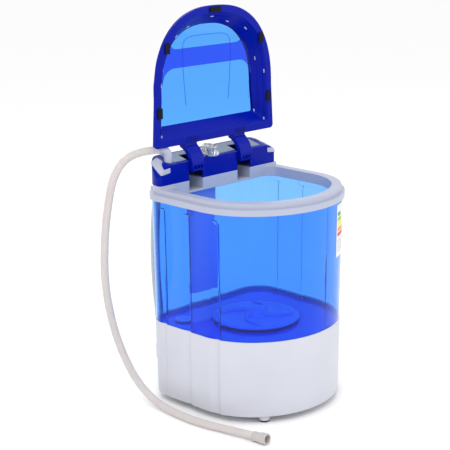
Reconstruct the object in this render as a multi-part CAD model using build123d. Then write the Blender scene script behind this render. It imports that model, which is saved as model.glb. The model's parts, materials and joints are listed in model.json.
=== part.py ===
from build123d import *
from math import acos, copysign, cos, degrees, hypot, pi, radians, sin, tan
import os

# Small portable washing machine: white base, clear blue tub, white rim,
# control box across the back and a D-shaped lid that stands open.
# Millimetres. +X to the right, +Y to the back, +Z up. z = 0 is the floor and
# the origin is the middle of the footprint. The hose that lies free is extra.

# ---------------------------------------------------------------- driving sizes
HALF_W = 170.0          # half width of the body at the seam
FRONT_Y0 = -24.7        # where the straight sides meet the elliptical front
FRONT_DEPTH = 149.9     # depth of the elliptical front
BACK_Y = 149.0          # back wall at the seam
CORNER_R = 53.0         # back corners

FOOT_TOP = 14.0         # underside of the base
SEAM_Z = 172.0          # base meets tub
SKIRT_Z = 427.0         # lower edge of the rim's skirt
LEDGE_Z = 439.0         # step between the skirt and the raised lip
RIM_TOP = 450.0
DECK_TOP = 455.8        # raised deck that carries the control box
BOX_FRONT_Y = 95.4
BOX_FRONT_TOP = 495.0
ROOF_SLOPE = 13.3       # degrees, rising to the back
SHOULDER_R = 30.0       # rounded ends of the box
WALL = 2.5

PIVOT_Y = 135.3         # lid hinge axis, along X
PIVOT_Z = 483.7
ARM_X = 69.5            # middle of each hinge arm
ARM_W = 34.0
SLOT_W = 38.0
ARM_R_OUT = 48.3
ARM_R_IN = 39.0
ARM_TAIL = 191          # lower end of the arm; further round, the closed arm meets the box
PIN_R = 3.0
RUNNING = 0.05          # radial clearance of a turning fit

LID_Y = 105.6           # face of the open lid that closes onto the rim
LID_DEPTH = 30.0
LID_HEEL_W = 169.9      # half width at the heel
LID_HALF_W = 164.8      # half width where the arched end begins
LID_BOTTOM = 529.0
LID_ARC_Z = 621.5
LID_ARC_H = 175.2
LID_ARC_POWER = 2.43    # 2 is an ellipse; more fills the shoulders out
LID_EDGE = 6.0          # upright edge before the outside slopes in
LID_SLOPE_INSET = 30.0  # how far the outside slopes in over the depth
HEEL_SLOPE = 0.66       # rise of the lid's heel wall per mm of depth
FACE_W = 12.0           # flat closing face
WINDOW_INSET = 36.0

FLOOR_TOP = 166.0       # inside floor of the tub
AXIS_Y = -5.0           # pulsator axis, x = 0
SHAFT_R = 5.0
PULLEY_Z = 30.0
PULLEY_H = 12.0
LARGE_GROOVE_R = 55.0
SMALL_GROOVE_R = 11.5
BELT_T = 6.0
MOTOR_X = 98.0
MOTOR_SHAFT_R = 4.0

HOSE_R = 8.0            # inlet hose, outside
HOSE_WALL = 2.0
DRAIN_R = 8.0
DRAIN_X = -112.0
DRAIN_Y = 168.9
ELBOW_R = 8.5

# The inlet hose leaves the elbow, falls behind the left side in a wide bow
# and lies along the floor to its tap connector.
HOSE_ROUTE = [
    (-144.6, 120.8, 523.5),
    (-173.0, 137.0, 523.5),
    (-210.0, 149.0, 512.0),
    (-234.0, 156.5, 481.0),
    (-245.0, 161.0, 436.0),
    (-255.0, 166.0, 364.0),
    (-259.0, 168.0, 271.0),
    (-244.0, 169.0, 180.0),
    (-221.0, 165.0, 103.0),
    (-202.0, 141.0, 38.0),
    (-201.0, 82.0, 8.0),
    (-210.0, 14.0, 8.0),
    (-209.0, -58.0, 8.0),
    (-194.0, -120.0, 8.0),
    (-187.0, -174.0, 10.3),
]

# The elbow rises from the deck and turns into the hose's first run.
ELBOW_REACH = 17.5
FIRST_RUN = Vector(*HOSE_ROUTE[1]) - Vector(*HOSE_ROUTE[0])
ELBOW_TURN = Vector(*HOSE_ROUTE[0]) - FIRST_RUN.normalized() * ELBOW_REACH
ELBOW_X = ELBOW_TURN.X
ELBOW_Y = ELBOW_TURN.Y


# ---------------------------------------------------------------- helpers
def outline(a, b, back, corner, z):
    """Elliptical front, straight sides, round back corners; a face at height z."""
    edges = [
        EllipticalCenterArc((0, FRONT_Y0), a, b, start_angle=180, arc_size=180),
        Line((a, FRONT_Y0), (a, back - corner)),
        CenterArc((a - corner, back - corner), corner, 0, 90),
        Line((a - corner, back), (corner - a, back)),
        CenterArc((corner - a, back - corner), corner, 90, 90),
        Line((-a, back - corner), (-a, FRONT_Y0)),
    ]
    return Pos(0, 0, z) * make_face(edges)


def plan(inset, z):
    """The body's outline at one height, moved inwards by inset."""
    return outline(HALF_W - inset, FRONT_DEPTH - inset, BACK_Y - inset, CORNER_R - inset, z)


def drum(inset, z_low, z_high):
    return extrude(plan(inset, z_low), z_high - z_low)


def tapered(inset_low, z_low, inset_high, z_high):
    return loft([plan(inset_low, z_low), plan(inset_high, z_high)], ruled=True)


def block(x0, x1, y0, y1, z0, z1):
    size = (x1 - x0, y1 - y0, z1 - z0)
    return Pos((x0 + x1) / 2, (y0 + y1) / 2, (z0 + z1) / 2) * Box(*size)


def rod(x, y, radius, z0, z1):
    return Pos(x, y, (z0 + z1) / 2) * Cylinder(radius, z1 - z0)


def rod_x(y, z, radius, x0, x1):
    return Pos((x0 + x1) / 2, y, z) * Rot(0, 90, 0) * Cylinder(radius, x1 - x0)


def rod_y(x, z, radius, y0, y1):
    return Pos(x, (y0 + y1) / 2, z) * Rot(90, 0, 0) * Cylinder(radius, y1 - y0)


def route_radii(points, share=0.45):
    """Arc radius at each inner corner: as large as its two runs allow."""
    radii = []
    for before, here, after in zip(points, points[1:], points[2:]):
        run_in = Vector(*here) - Vector(*before)
        run_out = Vector(*after) - Vector(*here)
        half_turn = radians(run_in.get_angle(run_out)) / 2
        radii.append(share * min(run_in.length, run_out.length) / tan(half_turn))
    return radii


def tube(path, outer, inner):
    start = Plane(path @ 0, z_dir=path % 0)
    solid = sweep(start * Circle(outer), path)
    return solid - sweep(start * Circle(inner), path)


def roof_z(y):
    return BOX_FRONT_TOP + (y - BOX_FRONT_Y) * tan(radians(ROOF_SLOPE))


# ---------------------------------------------------------------- base
SCREW_SPOTS = [(-159, 10), (159, 10), (-60, 138), (60, 138), (-60, -154), (60, -154)]
FOOT_SPOTS = {
    "foot_front_left": (-100, -122),
    "foot_front_right": (100, -122),
    "foot_back_left": (-115, 105),
    "foot_back_right": (115, 105),
}
GLAND_X = 110.0
GLAND_Z = 50.0
DRAIN_Z = 60.0
TUB_FOOT = 163.0        # underside of the tub, on the base's ledge
PLATE_TOP = FOOT_TOP + 3


BASE_TAPER = 1.7        # the base is this much narrower at its foot
BASE_WALL = 3.0
SCREW_R = 1.8
GLAND_HOLE_R = 7.0


def base_shell():
    outside = tapered(BASE_TAPER, FOOT_TOP, 0, SEAM_Z)
    shell = outside - tapered(BASE_TAPER + BASE_WALL, FOOT_TOP, BASE_WALL, SEAM_Z)
    ledge = drum(2, TUB_FOOT - 3, TUB_FOOT) - drum(15, TUB_FOOT - 3, TUB_FOOT)
    shell += ledge
    for x, y in SCREW_SPOTS:
        shell += rod(x, y, 5, PLATE_TOP, TUB_FOOT - 2)
        shell -= rod(x, y, SCREW_R, FOOT_TOP, 30)
    shell -= rod_y(DRAIN_X, DRAIN_Z, 9.3, BACK_Y - 10, BACK_Y + 10)
    shell -= rod_y(GLAND_X, GLAND_Z, GLAND_HOLE_R, BACK_Y - 10, BACK_Y + 10)
    return shell


def bottom_plate():
    plate = drum(5.2, FOOT_TOP, PLATE_TOP)
    for x, y in FOOT_SPOTS.values():
        plate += rod(x, y, 12, 8, FOOT_TOP)
    for x, y in SCREW_SPOTS:
        plate -= rod(x, y, SCREW_R, FOOT_TOP - 1, PLATE_TOP + 1)
    return plate


def foot(x, y):
    pad = rod(x, y, 10.5, 0, 8)
    return chamfer(pad.edges().group_by(Axis.Z)[0], 1.0)


def base_screws():
    screws = []
    for x, y in SCREW_SPOTS:
        head = rod(x, y, 4, FOOT_TOP - 1.8, FOOT_TOP)
        screws.append(head + rod(x, y, SCREW_R, FOOT_TOP, 29))
    return Compound(children=screws)


def cord_gland():
    """Bushing in the back wall where the mains lead would enter."""
    bush = rod_y(GLAND_X, GLAND_Z, GLAND_HOLE_R - 0.3, BACK_Y - 7, BACK_Y + 5)
    collar = rod_y(GLAND_X, GLAND_Z, 10.0, BACK_Y, BACK_Y + 5)
    return bush + collar - rod_y(GLAND_X, GLAND_Z, 4.0, BACK_Y - 20, BACK_Y + 20)


# ---------------------------------------------------------------- tub and rim
DRAIN_SPOT_Y = 95.0
HOUSING_R = 16.0
TUB_TOP = LEDGE_Z - WALL
MOUTH_INSET = 21.0
MOUTH_CORNER = 28.0
CHANNEL_FLOOR = 434.4
CHANNEL_BACK = BACK_Y - 3.5
INNER_WALL_Z = 430.0


def tub_outside(grow=0.0):
    return tapered(1.0 - grow, SEAM_Z, -1.6 - grow, TUB_TOP)


def wash_tub():
    body = drum(3.4, TUB_FOOT, SEAM_Z) + tub_outside()
    body -= tapered(6.0, FLOOR_TOP, 3.5, 174)
    body -= tapered(3.5, 174, 0.9, TUB_TOP + 0.01)
    body -= rod(0, AXIS_Y, HOUSING_R + 0.1, 160, 170)
    body -= rod(DRAIN_X, DRAIN_SPOT_Y, 8.6, 160, 170)
    return body


def mouth(grow, z_low, z_high):
    """The opening of the rim, cut straight across in front of the control box."""
    inset = MOUTH_INSET - grow
    a = HALF_W - inset
    b = FRONT_DEPTH - inset
    face = outline(a, b, BOX_FRONT_Y + grow, MOUTH_CORNER + grow, z_low)
    return extrude(face, z_high - z_low)


def channel(side, grow, z_low, z_high, y_front):
    """Space that a hinge arm swings down into."""
    half = SLOT_W / 2 + grow
    x = side * ARM_X
    return block(x - half, x + half, y_front, CHANNEL_BACK + min(grow, 1), z_low, z_high)


def rim_frame():
    behind_mouth = block(-200, 200, BOX_FRONT_Y - 1, 200, 400, 500)
    under_deck = block(-200, 200, BOX_FRONT_Y + WALL, 200, 400, 500)
    frame = drum(-6, SKIRT_Z, LEDGE_Z) - drum(-3.5, SKIRT_Z, TUB_TOP)
    frame -= drum(3.5, TUB_TOP, LEDGE_Z)
    frame += drum(1, TUB_TOP, RIM_TOP) - drum(3.5, TUB_TOP, RIM_TOP - WALL)
    frame += drum(1, RIM_TOP - 1, DECK_TOP) & behind_mouth
    frame -= drum(3.5, RIM_TOP - WALL - 1, DECK_TOP - WALL) & under_deck
    frame += mouth(WALL, INNER_WALL_Z, RIM_TOP)
    for side in (-1, 1):
        frame += channel(side, WALL, CHANNEL_FLOOR - WALL, DECK_TOP, BOX_FRONT_Y)
    frame -= mouth(0, INNER_WALL_Z - 1, DECK_TOP + 1)
    for side in (-1, 1):
        frame -= channel(side, 0, CHANNEL_FLOOR, DECK_TOP + 1, BOX_FRONT_Y - 5)
    frame -= rod(ELBOW_X, ELBOW_Y, ELBOW_R + 0.1, 430, 470)
    return frame


def overflow_duct():
    """Dark panel on the inner back wall: filter and overflow cover."""
    cover = block(-46, 22, 128, 142.6, 200, 425)
    cover = fillet(cover.edges().filter_by(Axis.Z).group_by(Axis.Y)[0], 8)
    return cover - block(-43.5, 19.5, 130.5, 142.7, 202.5, 422.5)


def drain_strainer():
    """Domed grille over the drain hole in the tub floor."""
    disc = rod(DRAIN_X, DRAIN_SPOT_Y, 17, FLOOR_TOP, FLOOR_TOP + 3)
    for ring_r in (6.0, 11.5):
        for step in range(8):
            angle = 2 * pi * step / 8
            x = DRAIN_X + ring_r * cos(angle)
            y = DRAIN_SPOT_Y + ring_r * sin(angle)
            disc -= rod(x, y, 1.6, FLOOR_TOP - 1, FLOOR_TOP + 4)
    return disc


def energy_label():
    """Plain sticker on the front right of the tub, under the rim."""
    skin = tub_outside(0.35) - tub_outside(0.05)
    return skin & block(66, 128, -170, -70, 312, 420)


# ---------------------------------------------------------------- control box
SLOT_BACK = 126.5
ELBOW_HOLE = ELBOW_R + 0.3
KNOB_X = -16.0
KNOB_Y = 112.0
PANEL_T = 1.4
PANEL_SCREW_X = (-105.0, 105.0)
PANEL_SCREW_Y = 134.0


def box_plan(inset, z):
    """Footprint of the box: small front corners, wide back corners."""
    a = HALF_W - 3 - inset
    front = BOX_FRONT_Y + inset
    back = BACK_Y - 3 - inset
    small = 6 - inset
    wide = 42 - inset
    edges = [
        Line((small - a, front), (a - small, front)),
        CenterArc((a - small, front + small), small, 270, 90),
        Line((a, front + small), (a, back - wide)),
        CenterArc((a - wide, back - wide), wide, 0, 90),
        Line((a - wide, back), (wide - a, back)),
        CenterArc((wide - a, back - wide), wide, 90, 90),
        Line((-a, back - wide), (-a, front + small)),
        CenterArc((small - a, front + small), small, 180, 90),
    ]
    return Pos(0, 0, z) * make_face(edges)


def box_form(inset):
    """Outer form of the box, shrunk by inset: sloping roof and rounded ends."""
    width = 2 * (HALF_W - 3 - inset)
    low = 400
    top = BOX_FRONT_TOP - inset
    section = RectangleRounded(width, top - low, SHOULDER_R - inset)
    face = Pos(0, BOX_FRONT_Y, (top + low) / 2) * (Plane.XZ * section)
    slope = radians(ROOF_SLOPE)
    form = extrude(face, 60, dir=(0, cos(slope), sin(slope)))
    form += extrude(face, 10, dir=(0, -cos(slope), -sin(slope)))
    return form & extrude(box_plan(inset, DECK_TOP), 80)


def arm_slots(y_front, z_low):
    slots = []
    for side in (-1, 1):
        x = side * ARM_X
        half = SLOT_W / 2
        slots.append(block(x - half, x + half, y_front, SLOT_BACK, z_low, 530))
    return slots


def control_box():
    shell = box_form(0) - box_form(WALL)
    shell -= arm_slots(BOX_FRONT_Y - 5, DECK_TOP - 1)
    shell -= rod(ELBOW_X, ELBOW_Y, ELBOW_HOLE, 470, 530)
    shell -= knob_place() * Cylinder(3.6, 20)
    for x in PANEL_SCREW_X:
        shell -= rod(x, PANEL_SCREW_Y, SCREW_R, 490, 530)
    return shell


def knob_place():
    """Local frame on the roof: z along the roof's normal."""
    slope = radians(ROOF_SLOPE)
    normal = (0, -sin(slope), cos(slope))
    return Plane((KNOB_X, KNOB_Y, roof_z(KNOB_Y)), x_dir=(1, 0, 0), z_dir=normal)


def control_panel():
    """Silver sheet laid on the roof of the box."""
    slope = radians(ROOF_SLOPE)
    lift = PANEL_T / cos(slope)
    y = BOX_FRONT_Y + 7
    face = Pos(0, y, roof_z(y) + lift / 2) * (Plane.XZ * Rectangle(250, lift))
    sheet = extrude(face, 38 / cos(slope), dir=(0, cos(slope), sin(slope)))
    sheet -= arm_slots(BOX_FRONT_Y, 480)
    sheet -= knob_place() * Cylinder(3.6, 20)
    sheet -= rod(ELBOW_X, ELBOW_Y, ELBOW_HOLE + 1, 470, 530)
    for x in PANEL_SCREW_X:
        sheet -= rod(x, PANEL_SCREW_Y, SCREW_R, 490, 530)
    return sheet


def panel_screws():
    screws = []
    z = roof_z(PANEL_SCREW_Y) + PANEL_T / cos(radians(ROOF_SLOPE)) + 0.9
    for x in PANEL_SCREW_X:
        head = rod(x, PANEL_SCREW_Y, 3.2, z, z + 1.5)
        screws.append(head + rod(x, PANEL_SCREW_Y, SCREW_R, z - 10, z))
    return Compound(children=screws)


def local_rod(radius, low, high):
    return knob_place() * Pos(0, 0, (low + high) / 2) * Cylinder(radius, high - low)


def knob_bezel():
    return local_rod(21, PANEL_T, 3.2) - local_rod(17.5, 2.2, 3.3) - local_rod(3.6, 0, 4)


def timer_body():
    case = knob_place() * Pos(0, 0, -15) * Box(40, 22, 24)
    return case - local_rod(3.0 + RUNNING, -16, 0)


def timer_shaft():
    return local_rod(3.0, -15.8, 14)


def timer_knob():
    knob = local_rod(16.5, 3.6, 18)
    for step in range(12):
        angle = 360 * step / 12
        flute = Pos(0, 0, 12) * Rot(0, 0, angle) * Pos(18.3, 0, 0) * Cylinder(3, 20)
        knob -= knob_place() * flute
    return knob - local_rod(3.0, 0, 14)


def clip_band(side):
    """White band that wraps the end of the box and holds the loose hose."""
    shell = box_form(-1.6) - box_form(0)
    middle = Plane((side * 152.5, 124, 498), z_dir=(side * 0.107, -0.435, 0.894))
    slab = middle * Box(90, 90, 8)
    end = Pos(side * 158, 107, 488) * Box(34, 52, 64)
    return shell & slab & end


# ---------------------------------------------------------------- inlet and hoses
CONNECTOR_PROFILE = [(0, 8.0), (2, 9.5), (14, 9.5), (22, 11.0), (34, 11.0)]
CONNECTOR_BORE_R = 8.5


def elbow_path():
    top = HOSE_ROUTE[0]
    corner = (ELBOW_X, ELBOW_Y, top[2])
    return FilletPolyline((ELBOW_X, ELBOW_Y, 442), corner, top, radius=14)


def inlet_elbow():
    return tube(elbow_path(), ELBOW_R, 5.5)


def inlet_hose():
    radii = route_radii(HOSE_ROUTE)
    path = FilletPolyline(*HOSE_ROUTE, radius=radii)
    hose = tube(path, HOSE_R, HOSE_R - HOSE_WALL)
    expected = path.length * pi * (HOSE_R**2 - (HOSE_R - HOSE_WALL) ** 2)
    print("inlet hose radii", [round(radius) for radius in radii])
    print("inlet hose length", round(path.length))
    print("inlet hose volume ratio", round(hose.volume / expected, 4))
    return hose


def turned(profile):
    """Solid of revolution about Z from (height, radius) pairs."""
    points = [(0, profile[0][0])] + [(radius, height) for height, radius in profile]
    points.append((0, profile[-1][0]))
    return revolve(Plane.XZ * make_face(Polyline(*points, close=True)), Axis.Z)


def connector_place():
    last = Vector(*HOSE_ROUTE[-1])
    before = Vector(*HOSE_ROUTE[-2])
    return Plane(last, z_dir=last - before)


def tap_connector():
    """Flared rubber cone that is pushed onto a tap, lying on the floor."""
    cone = turned(CONNECTOR_PROFILE)
    cone -= Pos(0, 0, 24) * Cylinder(CONNECTOR_BORE_R, 24)
    cone -= Cylinder(HOSE_R - HOSE_WALL, 40)
    return connector_place() * cone


def drain_elbow():
    """Moulded bend from the tub's drain hole out through the back wall."""
    path = FilletPolyline(
        (DRAIN_X, DRAIN_SPOT_Y, FLOOR_TOP),
        (DRAIN_X, DRAIN_SPOT_Y, DRAIN_Z),
        (DRAIN_X, DRAIN_Y, DRAIN_Z),
        (DRAIN_X, DRAIN_Y, DRAIN_Z + 35),
        radius=[25, 11],
    )
    return tube(path, DRAIN_R + 0.5, 5.5)


DRAIN_ROUTE = [
    (DRAIN_X, DRAIN_Y, DRAIN_Z + 35),
    (DRAIN_X, DRAIN_Y, 150),
    (DRAIN_X - 9, DRAIN_Y, 235),
    (DRAIN_X - 10, DRAIN_Y, 335),
    (DRAIN_X, DRAIN_Y, 420),
    (DRAIN_X + 1, DRAIN_Y, 448),
]


def drain_hose():
    path = FilletPolyline(*DRAIN_ROUTE, radius=route_radii(DRAIN_ROUTE))
    hose = tube(path, DRAIN_R, DRAIN_R - 1.5)
    print("drain hose length", round(path.length))
    return hose


def drain_hook():
    """Clip on the back of the rim that holds the drain hose upright."""
    z = 433.0
    collar = rod(DRAIN_X, DRAIN_Y, 11.7, z - 4, z + 4)
    stem = block(DRAIN_X - 5, DRAIN_X + 5, BACK_Y + 6, DRAIN_Y - 6, z - 4, z + 4)
    gap = block(DRAIN_X - 5, DRAIN_X + 5, DRAIN_Y, DRAIN_Y + 15, z - 5, z + 5)
    return collar + stem - rod(DRAIN_X, DRAIN_Y, DRAIN_R + 0.6, z - 5, z + 5) - gap


# ---------------------------------------------------------------- wash drive
HUB_TOP = 184.0
SHAFT_TOP = 178.0
SHAFT_LOW = 22.0
LARGE_RIM_R = LARGE_GROOVE_R + 5.5
SMALL_RIM_R = SMALL_GROOVE_R + 5.5
MOTOR_PLATE_Z = 50.0


def pulsator():
    """Ribbed disc that swings the water: four swept vanes round a hub."""
    disc = turned([(168, 88), (171, 90), (173.5, 84), (175, 30), (HUB_TOP, 22)])
    for step in range(4):
        vane = Rot(0, 0, 90 * step) * Pos(50, 0, 177) * Rot(0, 0, 12) * Box(56, 9, 14)
        disc += fillet(vane.edges().filter_by(Axis.Z), 4)
    disc -= Pos(0, 0, 160) * Cylinder(SHAFT_R, 2 * (SHAFT_TOP - 160))
    disc -= Pos(0, 0, 180) * Cylinder(2.5, 30)
    disc -= Pos(0, 0, HUB_TOP) * Cylinder(12, 6)
    return Pos(0, AXIS_Y, 0) * disc


def pulsator_screw():
    head = rod(0, AXIS_Y, 5.5, HUB_TOP - 3, HUB_TOP)
    return head + rod(0, AXIS_Y, 2.5, SHAFT_TOP - 12, HUB_TOP - 3)


def pulsator_cap():
    cap = turned([(HUB_TOP, 20), (HUB_TOP + 3, 19), (HUB_TOP + 6, 14), (HUB_TOP + 7, 0.5)])
    return Pos(0, AXIS_Y, 0) * cap


def pulsator_shaft():
    shaft = rod(0, AXIS_Y, SHAFT_R, SHAFT_LOW, SHAFT_TOP)
    return shaft - rod(0, AXIS_Y, 2.5, SHAFT_TOP - 12, SHAFT_TOP + 1)


def pulley(x, rim_r, groove_r, bore_r):
    """V-belt wheel: two flanges either side of a groove."""
    top = PULLEY_Z + PULLEY_H
    wheel = rod(x, AXIS_Y, rim_r, PULLEY_Z, PULLEY_Z + 1.5)
    wheel += rod(x, AXIS_Y, rim_r, top - 1.5, top)
    wheel += rod(x, AXIS_Y, groove_r, PULLEY_Z, top)
    return wheel - rod(x, AXIS_Y, bore_r, PULLEY_Z - 1, top + 1)


def large_pulley():
    wheel = pulley(0, LARGE_RIM_R, LARGE_GROOVE_R, SHAFT_R)
    for step in range(5):
        hole = Rot(0, 0, 72 * step) * Pos(33, 0, PULLEY_Z + PULLEY_H / 2) * Cylinder(11, 20)
        wheel -= Pos(0, AXIS_Y, 0) * hole
    return wheel


def pulley_nut():
    nut = extrude(Pos(0, AXIS_Y, PULLEY_Z - 6) * RegularPolygon(8, 6), 6)
    return nut - rod(0, AXIS_Y, SHAFT_R, 10, PULLEY_Z)


def drive_belt():
    """Belt round both pulleys: a closed band of two arcs and two straights."""
    outer = belt_loop(LARGE_GROOVE_R + 0.4 + BELT_T, SMALL_GROOVE_R + 0.4 + BELT_T)
    inner = belt_loop(LARGE_GROOVE_R + 0.4, SMALL_GROOVE_R + 0.4)
    return extrude(Pos(0, AXIS_Y, PULLEY_Z + 2) * (outer - inner), PULLEY_H - 4)


def belt_loop(large, small):
    """Filled outline of a band round two circles, MOTOR_X apart."""
    lean = acos((large - small) / MOTOR_X)
    deg = degrees(lean)
    top_large = (large * cos(lean), large * sin(lean))
    top_small = (MOTOR_X + small * cos(lean), small * sin(lean))
    low_large = (top_large[0], -top_large[1])
    low_small = (top_small[0], -top_small[1])
    edges = [
        CenterArc((0, 0), large, deg, 360 - 2 * deg),
        Line(low_large, low_small),
        CenterArc((MOTOR_X, 0), small, -deg, 2 * deg),
        Line(top_small, top_large),
    ]
    return make_face(edges)


def shaft_housing():
    """Sleeve that carries the pulsator shaft under the tub floor."""
    body = rod(0, AXIS_Y, HOUSING_R, 60, FLOOR_TOP + 1.5)
    body += rod(0, AXIS_Y, 34, TUB_FOOT - 3, TUB_FOOT)
    body -= rod(0, AXIS_Y, SHAFT_R + RUNNING, 50, 180)
    return body - rod(0, AXIS_Y, 10, 161, 170)


def water_seal():
    seal = rod(0, AXIS_Y, 10, 161, 167)
    return seal - rod(0, AXIS_Y, SHAFT_R + 0.08, 150, 180)


def motor_case():
    case = rod(MOTOR_X, AXIS_Y, 40, MOTOR_PLATE_Z + 3, 128)
    case = fillet(case.edges().group_by(Axis.Z)[-1], 6)
    return case - rod(MOTOR_X, AXIS_Y, MOTOR_SHAFT_R + RUNNING, 40, 120)


def motor_shaft():
    return rod(MOTOR_X, AXIS_Y, MOTOR_SHAFT_R, 26, 119)


def motor_pulley():
    return pulley(MOTOR_X, SMALL_RIM_R, SMALL_GROOVE_R, MOTOR_SHAFT_R)


def motor_bracket():
    """Plate that hangs the motor from the tub floor on four posts."""
    top = MOTOR_PLATE_Z + 3
    plate = block(MOTOR_X - 50, MOTOR_X + 50, AXIS_Y - 50, AXIS_Y + 50, MOTOR_PLATE_Z, top)
    for x in (MOTOR_X - 43, MOTOR_X + 43):
        for y in (AXIS_Y - 43, AXIS_Y + 43):
            under_ledge = hypot(x, y) > 130
            post_top = TUB_FOOT - 3.3 if under_ledge else TUB_FOOT
            plate += rod(x, y, 4, MOTOR_PLATE_Z, post_top)
    return plate - rod(MOTOR_X, AXIS_Y, 12, MOTOR_PLATE_Z - 1, top + 1)


def capacitor():
    can = rod(-90, -70, 18, PLATE_TOP, PLATE_TOP + 62)
    can = fillet(can.edges().group_by(Axis.Z)[-1], 3)
    for x in (-95, -85):
        can += block(x - 0.6, x + 0.6, -73, -67, PLATE_TOP + 62, PLATE_TOP + 72)
    return can


def terminal_block():
    body = block(85, 135, 88, 108, PLATE_TOP, PLATE_TOP + 18)
    for step in range(4):
        x = 92 + 12 * step
        body -= rod(x, 98, 3, PLATE_TOP + 10, PLATE_TOP + 20)
    return body


# ---------------------------------------------------------------- hinge and lid
def hinge_bracket(side):
    """Two ears on the deck that hold the hinge pin."""
    ears = []
    for offset in (-SLOT_W / 2 - 5, SLOT_W / 2 + 1):
        x = side * ARM_X + offset
        ear = block(x, x + 4, PIVOT_Y - 8, PIVOT_Y + 7.8, DECK_TOP, PIVOT_Z + 8)
        ears.append(fillet(ear.edges().filter_by(Axis.X).group_by(Axis.Z)[-1], 6))
    pair = Compound(children=ears)
    hole = rod_x(PIVOT_Y, PIVOT_Z, PIN_R, side * ARM_X - 40, side * ARM_X + 40)
    return Compound(children=[solid - hole for solid in pair.solids()])


def hinge_pin(side):
    x = side * ARM_X
    half = SLOT_W / 2 + 5
    pin = rod_x(PIVOT_Y, PIVOT_Z, PIN_R, x - half, x + half)
    return pin + rod_x(PIVOT_Y, PIVOT_Z, PIN_R + 1.5, x - half - 1.5, x - half)


def on_arc(radius, angle):
    turn = radians(angle)
    return (PIVOT_Y + radius * cos(turn), PIVOT_Z + radius * sin(turn))


def side_plate(points, x0, x1):
    """Prism along X from (y, z) points."""
    face = make_face(Polyline(*points, close=True))
    return Pos(x0, 0, 0) * extrude(Plane.YZ * face, x1 - x0)


def arm_band():
    """C-shaped band of the arm in the Y-Z plane, bulging forwards."""
    outer_low = on_arc(ARM_R_OUT, ARM_TAIL)
    outer_mid = on_arc(ARM_R_OUT, 157)
    outer_top = on_arc(ARM_R_OUT, 124)
    inner_low = on_arc(ARM_R_IN, ARM_TAIL)
    inner_mid = on_arc(ARM_R_IN, 150)
    inner_top = on_arc(ARM_R_IN, 108)
    heel_front = (LID_Y + 4, heel_z(LID_Y + 4))
    heel_back = (LID_Y + 24, heel_z(LID_Y + 24))
    edges = [
        ThreePointArc(outer_low, outer_mid, outer_top),
        Line(outer_top, heel_front),
        Line(heel_front, heel_back),
        Line(heel_back, inner_top),
        ThreePointArc(inner_top, inner_mid, inner_low),
        Line(inner_low, outer_low),
    ]
    return make_face(edges)


def heel_z(y):
    return LID_BOTTOM + HEEL_SLOPE * (y - LID_Y)


def hinge_arm(side):
    """Gooseneck arm: wide band, two side webs and the boss on the pin."""
    x0 = side * ARM_X - ARM_W / 2
    x1 = side * ARM_X + ARM_W / 2
    arm = Pos(x0, 0, 0) * extrude(Plane.YZ * arm_band(), ARM_W)
    web = [on_arc(ARM_R_IN + 1, angle) for angle in (164, 173, 182, ARM_TAIL)]
    web += [(PIVOT_Y, PIVOT_Z - 6.5), (PIVOT_Y + 4, PIVOT_Z), (PIVOT_Y, PIVOT_Z + 6.5)]
    arm += side_plate(web, x0, x0 + 4)
    arm += side_plate(web, x1 - 4, x1)
    arm += rod_x(PIVOT_Y, PIVOT_Z, 6.8, x0, x1)
    arm -= rod_x(PIVOT_Y, PIVOT_Z, PIN_R + RUNNING, x0 - 1, x1 + 1)
    for step in (-1, 0, 1):
        x = side * ARM_X + 8 * step
        arm -= block(x - 2.5, x + 2.5, PIVOT_Y - 60, PIVOT_Y - 36, PIVOT_Z - 5, PIVOT_Z + 2)
    return arm


def arch_point(a, h, angle):
    """Point on the lid's arched end, fuller at the shoulders than an ellipse."""
    x = cos(radians(angle))
    z = sin(radians(angle))
    power = 2 / LID_ARC_POWER
    return (copysign(a * abs(x) ** power, x), LID_ARC_Z + h * max(z, 0) ** power)


def lid_outline(inset, heel):
    """D-shaped outline of the open lid in the X-Z plane, its heel raised by heel."""
    a = LID_HALF_W - inset
    b = LID_HEEL_W - inset
    low = LID_BOTTOM + heel
    r = 8.0
    points = [arch_point(a, LID_ARC_H - inset, angle) for angle in range(0, 181, 9)]
    edges = [
        Spline(*points, tangents=[(0, 1), (0, -1)]),
        Line(points[-1], (-b, low + r)),
        CenterArc((r - b, low + r), r, 180, 90),
        Line((r - b, low), (b - r, low)),
        CenterArc((b - r, low + r), r, 270, 90),
        Line((b, low + r), points[0]),
    ]
    return make_face(edges)


def lid_slice(inset, depth, heel=None):
    """The outline placed at one depth behind the closing face."""
    face = lid_outline(inset, inset if heel is None else heel)
    return Pos(0, LID_Y + depth, 0) * (Plane.XZ * face)


def lid_prism(inset, depth_0, depth_1, heel=None):
    return extrude(lid_slice(inset, depth_0, heel), -(depth_1 - depth_0))


def lid_loft(inset_0, depth_0, inset_1, depth_1, heel=None):
    slices = [lid_slice(inset_0, depth_0, heel), lid_slice(inset_1, depth_1, heel)]
    return loft(slices, ruled=True)


def heel_cut(offset):
    """Everything below the sloping heel wall, moved up by offset."""
    y0 = LID_Y - 5
    y1 = LID_Y + 60
    points = [(y0, 450), (y1, 450), (y1, heel_z(y1) + offset), (y0, heel_z(y0) + offset)]
    return side_plate(points, -200, 200)


def lid_dish(inset, front, back):
    """Upright edge and sloping outside of the lid; the heel is cut later."""
    dish = lid_prism(inset, front, LID_EDGE, heel=0)
    return dish + lid_loft(inset, LID_EDGE, LID_SLOPE_INSET, back, heel=0)


def lid_frame():
    """Outer moulding: sloping outside and back flange round the window."""
    shell = lid_dish(0, 2.7, LID_DEPTH) - heel_cut(0)
    hollow = lid_dish(WALL, 2, LID_DEPTH - WALL) - heel_cut(3)
    return shell - hollow - lid_prism(WINDOW_INSET + 2, 10, LID_DEPTH + 5, heel=34)


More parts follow.
